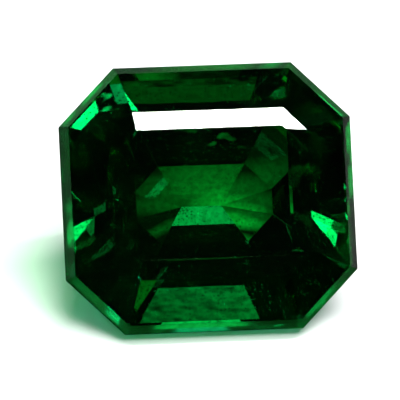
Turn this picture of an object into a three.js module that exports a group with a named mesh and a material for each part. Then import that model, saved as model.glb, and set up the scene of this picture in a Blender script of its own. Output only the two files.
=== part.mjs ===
// Loose step-cut emerald: an octagonal stone with a stepped crown, a thin girdle and a stepped pavilion
// that closes in a short keel. It lies on one long pavilion facet, so the table leans towards the viewer.
// Millimetres, +Z up, X along the stone's length.

import * as THREE from 'three';
import { ConvexGeometry } from 'three/addons/geometries/ConvexGeometry.js';
import { mergeVertices } from 'three/addons/utils/BufferGeometryUtils.js';

// Each ring is an octagon, given flat to flat along the length, the width and across the cut corners
const girdleRing = { length: 10.0, width: 9.14, corners: 10.79 };
const girdleThickness = 0.27;

// Crown steps from the girdle up to the table: the ring at the inner edge, and the long sides' slope
const crownSteps = [
  { name: 'bevel', length: 9.43, width: 8.66, corners: 10.29, slope: 52 },
  { name: 'main step', length: 6.75, width: 5.77, corners: 7.73, slope: 29.2 },
  { name: 'upper step', length: 5.25, width: 4.46, corners: 6.69, slope: 24 },
];

// Pavilion steps from the girdle down to the keel, which is a ring with no width
const keelLength = 1.37;
const pavilionSteps = [
  { name: 'girdle step', length: 8.82, width: 7.69, corners: 9.52, slope: 51.4 },
  { name: 'resting step', length: 4.77, width: 2.67, corners: 4, slope: 43.7 },
  { name: 'keel step', length: keelLength, width: 0, corners: keelLength * Math.SQRT1_2, slope: 36.2 },
];
const restingStep = 1;

const emeraldGreen = new THREE.MeshStandardMaterial({
  name: 'emerald',
  color: 0x04602a,
  roughness: 0.05,
  metalness: 0,
});

// Height between two rings, from the slope of the facets on the long sides
function stepHeight(outer, inner) {
  return ((outer.width - inner.width) / 2) * Math.tan(THREE.MathUtils.degToRad(inner.slope));
}

// The eight corners of a ring at height z
function ringCorners(ring, z) {
  const halfLength = ring.length / 2;
  const halfWidth = ring.width / 2;
  const cornerSum = (ring.corners / 2) * Math.SQRT2;
  const points = [];
  for (const sideX of [-1, 1]) {
    for (const sideY of [-1, 1]) {
      points.push(new THREE.Vector3(sideX * (cornerSum - halfWidth), sideY * halfWidth, z));
      points.push(new THREE.Vector3(sideX * halfLength, sideY * (cornerSum - halfLength), z));
    }
  }
  return points;
}

// Rings of one side of the stone, each with its height above the girdle's middle plane
function stackRings(steps, direction) {
  let outer = girdleRing;
  let z = (direction * girdleThickness) / 2;
  const stack = [{ ring: outer, z }];
  for (const step of steps) {
    z += direction * stepHeight(outer, step);
    stack.push({ ring: step, z });
    outer = step;
  }
  return stack;
}

const crown = stackRings(crownSteps, 1);
const pavilion = stackRings(pavilionSteps, -1);

// The facets are the flat faces of the convex solid through all ring corners
function cutStone() {
  const corners = [...crown, ...pavilion].flatMap(({ ring, z }) => ringCorners(ring, z));
  const hull = new ConvexGeometry(corners);
  hull.deleteAttribute('normal');
  return mergeVertices(hull, 1e-5);
}

// Middle of the long facet that the stone lies on, in the upright stone's own frame
function restingPoint() {
  const outer = pavilion[restingStep];
  const inner = pavilion[restingStep + 1];
  const halfWidth = (outer.ring.width + inner.ring.width) / 4;
  return new THREE.Vector3(0, -halfWidth, (outer.z + inner.z) / 2);
}

// Turning by the resting facet's own slope lays that facet flat on the ground
const stone = new THREE.Mesh(cutStone(), emeraldGreen);
stone.name = 'emerald';
stone.rotation.x = THREE.MathUtils.degToRad(pavilionSteps[restingStep].slope);
stone.position.copy(restingPoint().applyEuler(stone.rotation).negate());

const gem = new THREE.Group();
gem.add(stone);

export default gem;
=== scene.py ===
import math

import bmesh
import bpy
from mathutils import Matrix, Vector


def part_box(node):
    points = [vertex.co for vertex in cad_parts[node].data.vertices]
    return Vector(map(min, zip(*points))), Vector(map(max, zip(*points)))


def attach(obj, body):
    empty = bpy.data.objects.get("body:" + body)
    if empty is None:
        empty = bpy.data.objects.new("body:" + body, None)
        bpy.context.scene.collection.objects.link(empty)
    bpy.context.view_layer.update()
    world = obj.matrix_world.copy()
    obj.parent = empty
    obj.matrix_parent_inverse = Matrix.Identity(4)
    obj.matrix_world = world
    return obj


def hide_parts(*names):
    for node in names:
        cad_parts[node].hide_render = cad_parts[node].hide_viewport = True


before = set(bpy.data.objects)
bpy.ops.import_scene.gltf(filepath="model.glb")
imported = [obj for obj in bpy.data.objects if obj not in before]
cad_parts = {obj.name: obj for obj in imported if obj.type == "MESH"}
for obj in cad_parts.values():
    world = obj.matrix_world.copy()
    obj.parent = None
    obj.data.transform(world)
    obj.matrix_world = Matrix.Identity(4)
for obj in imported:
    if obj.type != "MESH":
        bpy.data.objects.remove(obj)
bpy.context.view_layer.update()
millimetre = 0.001
print("frame loaded:", sorted(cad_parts))


def linkObject(name, mesh):
    obj = bpy.data.objects.new(name, mesh)
    bpy.context.scene.collection.objects.link(obj)
    return obj


def newMaterial(name):
    mat = bpy.data.materials.new(name)
    mat.use_nodes = True
    return mat, mat.node_tree, mat.node_tree.nodes["Principled BSDF"]


def noiseOver(tree, scale, detail):
    coords = tree.nodes.new("ShaderNodeTexCoord")
    noise = tree.nodes.new("ShaderNodeTexNoise")
    noise.inputs["Scale"].default_value = scale
    noise.inputs["Detail"].default_value = detail
    tree.links.new(coords.outputs["Object"], noise.inputs["Vector"])
    return noise.outputs["Fac"]


def tintRamp(tree, source, span, tints):
    ramp = tree.nodes.new("ShaderNodeValToRGB")
    for end, place, tint in zip(ramp.color_ramp.elements, span, tints):
        end.position = place
        end.color = tint
    tree.links.new(source, ramp.inputs["Fac"])
    return ramp.outputs["Color"]


def fade(tree, source, start, end, low, high):
    node = tree.nodes.new("ShaderNodeMapRange")
    for name, value in (("From Min", start), ("From Max", end), ("To Min", low), ("To Max", high)):
        node.inputs[name].default_value = value
    tree.links.new(source, node.inputs["Value"])
    return node.outputs["Result"]


def combine(tree, kind, first, second):
    node = tree.nodes.new("ShaderNodeMath")
    node.operation = kind
    tree.links.new(first, node.inputs[0])
    tree.links.new(second, node.inputs[1])
    return node.outputs["Value"]


# The stone: the CAD solid with its facet edges very slightly worn, as on any handled gem

stone = {
    "mergeGap": 0.002 * millimetre,
    "facetAngle": 0.4,                  # degrees, faces flatter than this to each other are one facet
    "edgeWear": 0.002 * millimetre,
    "ior": 1.577,
    "absorb": (0.0, 0.895, 0.72),       # how freely each colour passes
    "density": 950.0,                   # per metre
    "mottle": (4600.0, 6.0),            # cloudy growth marks: scale per metre, detail
    "mottleSpan": (0.34, 0.62),
    "mottleTint": ((0.4, 0.48, 0.4, 1), (1.0, 1.0, 1.0, 1)),
    "rubbing": (900.0, 6.0),            # wear of the polish: scale per metre, detail
    "rubbingSpan": (0.55, 0.8),
    "polish": (0.0, 0.03),              # roughness from clean to rubbed
    "rimLean": (-0.1, 0.75),            # girdle and bevel: lean of their facets against the table
    "rimFrost": 0.2,                    # and their roughness, left finely ground
    "wave": (1300.0, 1.0),              # unevenness of the hand-polished facets: scale per metre, detail
    "waveHeight": 0.002 * millimetre,
}


def stoneMesh():
    bm = bmesh.new()
    bm.from_mesh(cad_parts["emerald"].data)
    bmesh.ops.remove_doubles(bm, verts=bm.verts, dist=stone["mergeGap"])
    bmesh.ops.dissolve_limit(
        bm, angle_limit=math.radians(stone["facetAngle"]), verts=bm.verts, edges=bm.edges)
    # the table is the widest facet, and the rim's facets lie across it
    tableAxis = max(bm.faces, key=lambda face: face.calc_area()).normal.copy()
    frost = bm.faces.layers.float.new("frost")
    low, high = stone["rimLean"]
    for face in bm.faces:
        if low < face.normal.dot(tableAxis) < high:
            face[frost] = stone["rimFrost"]
    bmesh.ops.bevel(
        bm, geom=bm.edges[:], offset=stone["edgeWear"], segments=1, affect="EDGES", clamp_overlap=True)
    mesh = bpy.data.meshes.new("emeraldStone")
    bm.to_mesh(mesh)
    bm.free()
    mesh.shade_flat()                   # every facet is a true mirror
    if mesh.has_custom_normals:
        mesh.attributes.remove(mesh.attributes["custom_normal"])
    return mesh


def stoneMaterial():
    mat, tree, shader = newMaterial("emeraldCrystal")
    nodes, links = tree.nodes, tree.links

    cloud = noiseOver(tree, *stone["mottle"])
    tint = tintRamp(tree, cloud, stone["mottleSpan"], stone["mottleTint"])
    links.new(tint, shader.inputs["Base Color"])

    rubbed = noiseOver(tree, *stone["rubbing"])
    rough = fade(tree, rubbed, *stone["rubbingSpan"], *stone["polish"])
    frost = nodes.new("ShaderNodeAttribute")
    frost.attribute_name = "frost"
    rough = combine(tree, "ADD", frost.outputs["Fac"], rough)
    links.new(rough, shader.inputs["Roughness"])

    bump = nodes.new("ShaderNodeBump")
    bump.inputs["Distance"].default_value = stone["waveHeight"]
    links.new(noiseOver(tree, *stone["wave"]), bump.inputs["Height"])
    links.new(bump.outputs["Normal"], shader.inputs["Normal"])

    shader.inputs["IOR"].default_value = stone["ior"]
    shader.inputs["Transmission Weight"].default_value = 1.0

    absorb = nodes.new("ShaderNodeVolumeAbsorption")
    absorb.inputs["Color"].default_value = (*stone["absorb"], 1)
    absorb.inputs["Density"].default_value = stone["density"]
    links.new(absorb.outputs["Volume"], nodes["Material Output"].inputs["Volume"])
    return mat


emerald = linkObject("emeraldStone", stoneMesh())
emerald.data.materials.append(stoneMaterial())
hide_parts("emerald")
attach(emerald, "root")
print("stone cut:", len(emerald.data.polygons), "faces")


# The garden: fine flecks inside the crystal, in cloudy patches

garden = {
    "count": 9000,
    "fleckSize": (0.01 * millimetre, 0.045 * millimetre),
    "width": 0.7,                       # against a fleck's length
    "flatness": 0.3,
    "depth": 0.1 * millimetre,          # nearest to a facet
    "patchScale": 700.0,
    "patchCut": 0.5,
    "seed": 11,
    "ior": 1.08,                        # against the stone around it
    "roughness": 0.1,
    "mottle": (2500.0, 2.0),            # scale per metre, detail
    "mottleSpan": (0.0, 1.0),
    "tint": ((0.7, 0.85, 0.75, 1), (1.0, 1.0, 1.0, 1)),
}


def gardenTree(material):
    tree = bpy.data.node_groups.new("gardenFlecks", "GeometryNodeTree")
    face = tree.interface
    face.new_socket("Stone", in_out="INPUT", socket_type="NodeSocketGeometry")
    for name in ("Count", "Seed"):
        face.new_socket(name, in_out="INPUT", socket_type="NodeSocketInt")
    for name in ("Small", "Large", "Depth", "Patch Scale", "Patch Cut", "Width", "Flatness"):
        face.new_socket(name, in_out="INPUT", socket_type="NodeSocketFloat")
    face.new_socket("Flecks", in_out="OUTPUT", socket_type="NodeSocketGeometry")
    join = tree.links.new

    def make(kind, **settings):
        node = tree.nodes.new(kind)
        for key, value in settings.items():
            setattr(node, key, value)
        return node

    given = make("NodeGroupInput")
    result = make("NodeGroupOutput")

    # points scattered through the stone's box
    box = make("GeometryNodeBoundBox")
    join(given.outputs["Stone"], box.inputs["Geometry"])
    spot = make("FunctionNodeRandomValue", data_type="FLOAT_VECTOR")
    join(box.outputs["Min"], spot.inputs["Min"])
    join(box.outputs["Max"], spot.inputs["Max"])
    join(given.outputs["Seed"], spot.inputs["Seed"])
    points = make("GeometryNodePoints")
    join(given.outputs["Count"], points.inputs["Count"])
    join(spot.outputs["Value"], points.inputs["Position"])

    # how far a point lies behind the nearest facet
    place = make("GeometryNodeInputPosition")
    normal = make("GeometryNodeInputNormal")
    nearest = make("GeometryNodeProximity", target_element="FACES")
    join(given.outputs["Stone"], nearest.inputs["Geometry"])
    facing = make("GeometryNodeSampleNearestSurface", data_type="FLOAT_VECTOR")
    join(given.outputs["Stone"], facing.inputs["Mesh"])
    join(normal.outputs["Normal"], facing.inputs["Value"])
    away = make("ShaderNodeVectorMath", operation="SUBTRACT")
    join(nearest.outputs["Position"], away.inputs[0])
    join(place.outputs["Position"], away.inputs[1])
    behind = make("ShaderNodeVectorMath", operation="DOT_PRODUCT")
    join(away.outputs["Vector"], behind.inputs[0])
    join(facing.outputs["Value"], behind.inputs[1])
    shallow = make("FunctionNodeCompare", data_type="FLOAT", operation="LESS_THAN")
    join(behind.outputs["Value"], shallow.inputs["A"])
    join(given.outputs["Depth"], shallow.inputs["B"])

    # clouds: flecks stay only where a noise is high
    cloud = make("ShaderNodeTexNoise")
    join(given.outputs["Patch Scale"], cloud.inputs["Scale"])
    join(place.outputs["Position"], cloud.inputs["Vector"])
    thin = make("FunctionNodeCompare", data_type="FLOAT", operation="LESS_THAN")
    join(cloud.outputs["Fac"], thin.inputs["A"])
    join(given.outputs["Patch Cut"], thin.inputs["B"])
    drop = make("FunctionNodeBooleanMath", operation="OR")
    join(shallow.outputs["Result"], drop.inputs[0])
    join(thin.outputs["Result"], drop.inputs[1])
    kept = make("GeometryNodeDeleteGeometry", domain="POINT")
    join(points.outputs["Points"], kept.inputs["Geometry"])
    join(drop.outputs["Boolean"], kept.inputs["Selection"])

    # one flat fleck, turned and sized at random
    fleck = make("GeometryNodeMeshIcoSphere")
    fleck.inputs["Radius"].default_value = 1.0
    fleck.inputs["Subdivisions"].default_value = 1
    size = make("FunctionNodeRandomValue", data_type="FLOAT")
    join(given.outputs["Small"], size.inputs[2])
    join(given.outputs["Large"], size.inputs[3])
    join(given.outputs["Seed"], size.inputs["Seed"])
    shape = make("ShaderNodeCombineXYZ")
    shape.inputs["X"].default_value = 1.0
    join(given.outputs["Width"], shape.inputs["Y"])
    join(given.outputs["Flatness"], shape.inputs["Z"])
    scaled = make("ShaderNodeVectorMath", operation="SCALE")
    join(shape.outputs["Vector"], scaled.inputs[0])
    join(size.outputs[1], scaled.inputs["Scale"])
    turn = make("FunctionNodeRandomValue", data_type="FLOAT_VECTOR")
    turn.inputs["Max"].default_value = (math.tau, math.tau, math.tau)
    join(given.outputs["Seed"], turn.inputs["Seed"])
    spread = make("GeometryNodeInstanceOnPoints")
    join(kept.outputs["Geometry"], spread.inputs["Points"])
    join(fleck.outputs["Mesh"], spread.inputs["Instance"])
    join(turn.outputs["Value"], spread.inputs["Rotation"])
    join(scaled.outputs["Vector"], spread.inputs["Scale"])
    real = make("GeometryNodeRealizeInstances")
    join(spread.outputs["Instances"], real.inputs["Geometry"])
    paint = make("GeometryNodeSetMaterial")
    paint.inputs["Material"].default_value = material
    join(real.outputs["Geometry"], paint.inputs["Geometry"])
    join(paint.outputs["Geometry"], result.inputs["Flecks"])
    return tree


def gardenMaterial():
    mat, tree, shader = newMaterial("gardenFleck")
    mottle = noiseOver(tree, *garden["mottle"])
    tint = tintRamp(tree, mottle, garden["mottleSpan"], garden["tint"])
    tree.links.new(tint, shader.inputs["Base Color"])
    shader.inputs["Roughness"].default_value = garden["roughness"]
    shader.inputs["IOR"].default_value = garden["ior"]
    shader.inputs["Transmission Weight"].default_value = 1.0
    return mat


def gardenMesh():
    source = linkObject("gardenSource", emerald.data.copy())
    modifier = source.modifiers.new("garden", "NODES")
    modifier.node_group = gardenTree(gardenMaterial())
    small, large = garden["fleckSize"]
    values = {
        "Count": garden["count"],
        "Seed": garden["seed"],
        "Small": small,
        "Large": large,
        "Depth": garden["depth"],
        "Patch Scale": garden["patchScale"],
        "Patch Cut": garden["patchCut"],
        "Width": garden["width"],
        "Flatness": garden["flatness"],
    }
    for item in modifier.node_group.interface.items_tree:
        if item.name in values:
            modifier[item.identifier] = values[item.name]
    graph = bpy.context.evaluated_depsgraph_get()
    mesh = bpy.data.meshes.new_from_object(source.evaluated_get(graph))
    bpy.data.objects.remove(source)
    return mesh


flecks = linkObject("gardenFlecks", gardenMesh())
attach(flecks, "root")
print("garden grown:", len(flecks.data.polygons), "faces")


# Floor and light

studio = {
    "floorSize": 0.5,
    "floorTone": 0.9,
    "floorRoughness": 0.9,
    "floorGloss": 0.1,
    "backdrop": (0.9, 0.9, 0.9, 1),
    "ambient": 0.0045,
    "boxEdge": 1.0,                         # degrees over which a lamp of the tent fades out
    "stripHeight": 0.2,
    "stripEnds": ((-0.046, 0.030), (0.201, 0.063)),
    "stripWidth": 0.009,
    "stripGlow": 56.0,                      # brightness, where 1 is a white page in the picture
    "fillPlace": (0.09, -0.015, 0.25),
    "fillSize": (0.22, 0.22),
    "fillPower": 0.9,
    "paintedCardSize": 0.12,                      # a glowing card under the floor, with the floor's light and shade painted on, which the stone mirrors
    "paintedCardDrop": 0.1 * millimetre,
    "paintedThroughLightTint": (0.06, 1.0, 0.15),         # painted green light, standing in for light passed through the stone
    "paintedGlow": (0.016, 0.55),             # painted shade under the stone, and painted light on the lit side
    "paintedLitSide": (0.006, 0.02),               # along X, where the painted light rises
    "paintedFrontShade": (-0.008, -0.005),          # along Y, painted shade towards the front
    "paintedLightSpots": (                              # painted pools of light, as if passed through the stone onto the floor: place, reach, brightness
        ((0.0004, 0.0039), (0.0016, 0.0006), 0.24),
        ((-0.0014, 0.0009), (0.0008, 0.0009), 0.25),
        ((0.0008, 0.0033), (0.0009, 0.00045), 0.75),
        ((0.0007, 0.0019), (0.0016, 0.00045), 0.5),
        ((-0.0055, -0.0035), (0.0022, 0.0008), 1.2),
        ((0.0, -0.0035), (0.0034, 0.0004), 0.6),
        ((0.0057, -0.003), (0.0024, 0.0009), 0.9),
    ),
    "paintedSpotFade": (0.3, 1.5),                 # in reaches
    "greenLamps": {                         # and on the floor around it: place, size, power
        "greenFront": ((-0.0005, -0.0052, 0.002), (0.009, 0.002), 6e-5),
        "greenLeft": ((-0.007, 0.001, 0.002), (0.0025, 0.007), 6e-5),
    },
    "greenTint": (0.03, 1.0, 0.16),
}

# lamps in a dark tent: degrees round from +X, degrees up, half size in degrees, brightness, tint
coolLight = (0.95, 1.0, 1.45)
warmLight = (0.45, 1.0, 0.4)
plainLight = (1.0, 1.0, 1.0)
greenLight = (0.28, 1.0, 0.4)               # what the bevels mirror
softboxes = {
    "overCamera": (295, 77, 3.5, 1.5, plainLight),
    "frontHigh": (258.5, 64.5, 2.0, 9.0, coolLight),
    "frontSpot": (259.5, 48.6, 1.7, 11.0, coolLight),
    "frontLow": (277, 25, 4.0, 1.9, warmLight),
    "top": (282, 67, 4.5, 0.18, warmLight),
    "back": (72, 56, 4.5, 0.5, warmLight),
    "backLow": (81, 37, 5.0, 1.2, warmLight),
    "rightHigh": (13, 67, 1.6, 5.0, coolLight),
    "rightMiddle": (345, 54, 2.0, 0.8, coolLight),
    "rightFront": (347, 58.5, 1.5, 1.5, coolLight),
    "rightLow": (311, 25, 2.0, 0.6, coolLight),
    "rightBar": (318, 29, 1.8, 0.5, warmLight),
    "rightStreak": (315, 61, 1.3, 1.2, coolLight),
    "leftBack": (140, 61, 1.5, 6.0, coolLight),
    "left": (175.5, 55.5, 1.3, 14.0, coolLight),
    "leftFront": (196, 61, 1.8, 10.0, coolLight),
    "rimTop": (204, 20, 2.5, 4.0, coolLight),
    "rimTopRightLow": (199, 35, 2.2, 6.0, coolLight),
    "rimRight": (243.5, 37, 2.4, 3.5, coolLight),
    "rimRightLow": (289, 5, 2.4, 4.5, coolLight),
    "rimBottomRight": (226, 15.5, 2.5, 2.0, coolLight),
    "rimBottom": (83, 15.5, 2.5, 1.2, plainLight),
    "rimBottomLeft": (317, 5.5, 2.2, 0.6, coolLight),
    "rimBottomLeftHigh": (32, 34, 2.8, 1.6, plainLight),
    "rimLeft": (302, 16.5, 1.8, 4.0, coolLight),
    "rimLeftHigh": (321.5, 52, 2.4, 4.0, coolLight),
    "rimTopLeft": (339, 46.5, 2.4, 4.0, coolLight),
    "rimTopLeftLow": (352, 37, 2.2, 5.0, coolLight),
    "mirrorLeft": (177, 5, 3.5, 1.3, greenLight),
    "mirrorTopLeft": (128, 24, 6.0, 1.5, greenLight),
    "mirrorTopRight": (48, 12, 6.0, 0.9, greenLight),
    "mirrorTop": (83, 23, 5.0, 0.6, greenLight),
}


def flatCard(name, reach, z):
    mesh = bpy.data.meshes.new(name)
    corners = [(-reach, -reach, z), (reach, -reach, z), (reach, reach, z), (-reach, reach, z)]
    mesh.from_pydata(corners, [], [(0, 1, 2, 3)])
    card = linkObject(name, mesh)
    return card


def directionOf(turn, rise):
    a, e = math.radians(turn), math.radians(rise)
    return (math.cos(a) * math.cos(e), math.sin(a) * math.cos(e), math.sin(e))


def buildWorld():
    world = bpy.data.worlds.new("studioWorld")
    world.use_nodes = True
    tree = world.node_tree
    nodes, links = tree.nodes, tree.links
    around = nodes.new("ShaderNodeTexCoord")
    half = studio["boxEdge"] / 2
    total = None
    for turn, rise, size, glow, tint in softboxes.values():
        facing = nodes.new("ShaderNodeVectorMath")
        facing.operation = "DOT_PRODUCT"
        facing.inputs[1].default_value = directionOf(turn, rise)
        links.new(around.outputs["Generated"], facing.inputs[0])
        outer, inner = math.cos(math.radians(size + half)), math.cos(math.radians(size - half))
        lit = nodes.new("ShaderNodeVectorMath")
        lit.operation = "MULTIPLY_ADD"
        lit.inputs[1].default_value = tint
        lit.inputs[2].default_value = (studio["ambient"],) * 3
        links.new(fade(tree, facing.outputs["Value"], outer, inner, 0, glow), lit.inputs[0])
        if total:
            links.new(total, lit.inputs[2])
        total = lit.outputs["Vector"]
    # the stone sees the lamps, and the camera a plain backdrop
    seen = nodes.new("ShaderNodeLightPath")
    backdrop = nodes.new("ShaderNodeMix")
    backdrop.data_type = "RGBA"
    backdrop.inputs["B"].default_value = studio["backdrop"]
    links.new(seen.outputs["Is Camera Ray"], backdrop.inputs["Factor"])
    links.new(total, backdrop.inputs["A"])
    links.new(backdrop.outputs["Result"], nodes["Background"].inputs["Color"])
    bpy.context.scene.world = world


def floorMaterial():
    mat, _, shader = newMaterial("paleFloor")
    tone = studio["floorTone"]
    shader.inputs["Base Color"].default_value = (tone, tone, tone, 1)
    shader.inputs["Roughness"].default_value = studio["floorRoughness"]
    shader.inputs["Specular IOR Level"].default_value = studio["floorGloss"]
    return mat


def paintedFloorCardMaterial():
    # the floor's light and shade painted as a glow: painted shade under the stone, painted light on one
    # side
    mat, tree, shader = newMaterial("paintedFloorCard")
    nodes, links = tree.nodes, tree.links
    coords = nodes.new("ShaderNodeTexCoord")
    axes = nodes.new("ShaderNodeSeparateXYZ")
    links.new(coords.outputs["Object"], axes.inputs["Vector"])

    # painted light rising towards the lit side, painted shade elsewhere
    glow = fade(tree, axes.outputs["X"], *studio["paintedLitSide"], *studio["paintedGlow"])
    # painted pools of green light, as if passed through the stone
    for (x, y), (wide, deep), brightness in studio["paintedLightSpots"]:
        offset = nodes.new("ShaderNodeVectorMath")
        offset.operation = "MULTIPLY_ADD"
        offset.inputs[1].default_value = (1 / wide, 1 / deep, 0)
        offset.inputs[2].default_value = (-x / wide, -y / deep, 0)
        links.new(coords.outputs["Object"], offset.inputs[0])
        reach = nodes.new("ShaderNodeVectorMath")
        reach.operation = "LENGTH"
        links.new(offset.outputs["Vector"], reach.inputs[0])
        spot = fade(tree, reach.outputs["Value"], *studio["paintedSpotFade"], brightness, 0)
        glow = combine(tree, "ADD", glow, spot)
    # painted shade towards the front
    front = fade(tree, axes.outputs["Y"], *studio["paintedFrontShade"], 0, 1)
    glow = combine(tree, "MULTIPLY", glow, front)

    # painted green light in the shade, white on the lit side
    tint = nodes.new("ShaderNodeMix")
    tint.data_type = "RGBA"
    tint.inputs["A"].default_value = (*studio["paintedThroughLightTint"], 1)
    tint.inputs["B"].default_value = (1, 1, 1, 1)
    links.new(fade(tree, axes.outputs["X"], *studio["paintedLitSide"], 0, 1), tint.inputs["Factor"])
    shader.inputs["Base Color"].default_value = (0, 0, 0, 1)
    shader.inputs["Specular IOR Level"].default_value = 0.0
    links.new(tint.outputs["Result"], shader.inputs["Emission Color"])
    links.new(glow, shader.inputs["Emission Strength"])
    return mat


def areaLamp(name, place, size, power):
    data = bpy.data.lights.new(name, "AREA")
    data.shape = "RECTANGLE"
    data.size, data.size_y = size
    data.energy = power
    lamp = bpy.data.objects.new(name, data)
    lamp.location = place
    lamp.visible_camera = False
    bpy.context.scene.collection.objects.link(lamp)
    return lamp


def buildStudio():
    # the pale floor is what the camera sees, and a glowing card just under it, with the floor's light and
    # shade painted on, is what the stone mirrors
    floor = flatCard("floor", studio["floorSize"], 0)
    floor.data.materials.append(floorMaterial())
    floor.visible_glossy = floor.visible_transmission = False
    paintedCard = flatCard("paintedFloorCard", studio["paintedCardSize"], -studio["paintedCardDrop"])
    paintedCard.data.materials.append(paintedFloorCardMaterial())
    paintedCard.visible_camera = paintedCard.visible_diffuse = paintedCard.visible_shadow = False

    # the strip that shows as a white bar across the crown
    (x0, y0), (x1, y1) = studio["stripEnds"]
    length = math.hypot(x1 - x0, y1 - y0)
    place = ((x0 + x1) / 2, (y0 + y1) / 2, studio["stripHeight"])
    power = studio["stripGlow"] * math.pi * length * studio["stripWidth"]
    strip = areaLamp("stripLamp", place, (length, studio["stripWidth"]), power)
    strip.rotation_euler.z = math.atan2(y1 - y0, x1 - x0)

    # lights the floor only, without adding reflections to the stone
    fill = areaLamp("floorLamp", studio["fillPlace"], studio["fillSize"], studio["fillPower"])
    aim = -Vector(studio["fillPlace"])
    fill.rotation_euler = aim.to_track_quat("-Z", "Y").to_euler()
    fill.visible_glossy = fill.visible_transmission = False

    # the stone's own green light on the floor
    for name, (place, size, power) in studio["greenLamps"].items():
        green = areaLamp(name, place, size, power)
        green.data.color = studio["greenTint"]
        green.data.use_shadow = False
        green.visible_glossy = green.visible_transmission = False


buildWorld()
buildStudio()
print("studio lit")


# Camera: long lens, at the photograph's angle

shot = {
    "azimuth": -8.1,                    # degrees from the front, towards the stone's left
    "elevation": 39.25,
    "roll": 3.03,
    "distance": 0.4,
    "clipStart": 0.01,
    "pixels": 400,
    "stonePixels": 292.8,               # length of the stone in the photograph
    "stoneAt": (208.0, 198.3),          # pixel of the girdle's middle
    "endShare": 0.999,                  # corners this far out along X are the girdle's ends
    "bounces": 32,                      # light turns many times inside a cut stone
}


def buildCamera():
    low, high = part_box("emerald")
    corners = [v.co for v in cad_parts["emerald"].data.vertices]
    ends = [corner for corner in corners if abs(corner.x) > shot["endShare"] * high.x]
    middle = Vector([(min(c) + max(c)) / 2 for c in zip(*ends)])
    pixel = (high.x - low.x) / shot["stonePixels"]
    a, e = math.radians(shot["azimuth"]), math.radians(shot["elevation"])
    back = Vector((math.sin(a) * math.cos(e), -math.cos(a) * math.cos(e), math.sin(e)))
    roll = Matrix.Rotation(math.radians(shot["roll"]), 3, "Z")
    turn = (-back).to_track_quat("-Z", "Y").to_matrix() @ roll
    right, up = turn.col[0], turn.col[1]
    half = shot["pixels"] / 2
    acrossBy, downBy = (at - half for at in shot["stoneAt"])
    aim = middle - right * acrossBy * pixel + up * downBy * pixel
    data = bpy.data.cameras.new("camera")
    data.angle = 2 * math.atan(half * pixel / shot["distance"])
    data.clip_start = shot["clipStart"]
    camera = bpy.data.objects.new("camera", data)
    camera.matrix_world = Matrix.Translation(aim + back * shot["distance"]) @ turn.to_4x4()
    bpy.context.scene.collection.objects.link(camera)
    bpy.context.scene.camera = camera


buildCamera()
scene = bpy.context.scene
scene.view_settings.view_transform = "Standard"
scene.cycles.max_bounces = shot["bounces"]
scene.cycles.glossy_bounces = shot["bounces"]
scene.cycles.transmission_bounces = shot["bounces"]
print("camera placed")
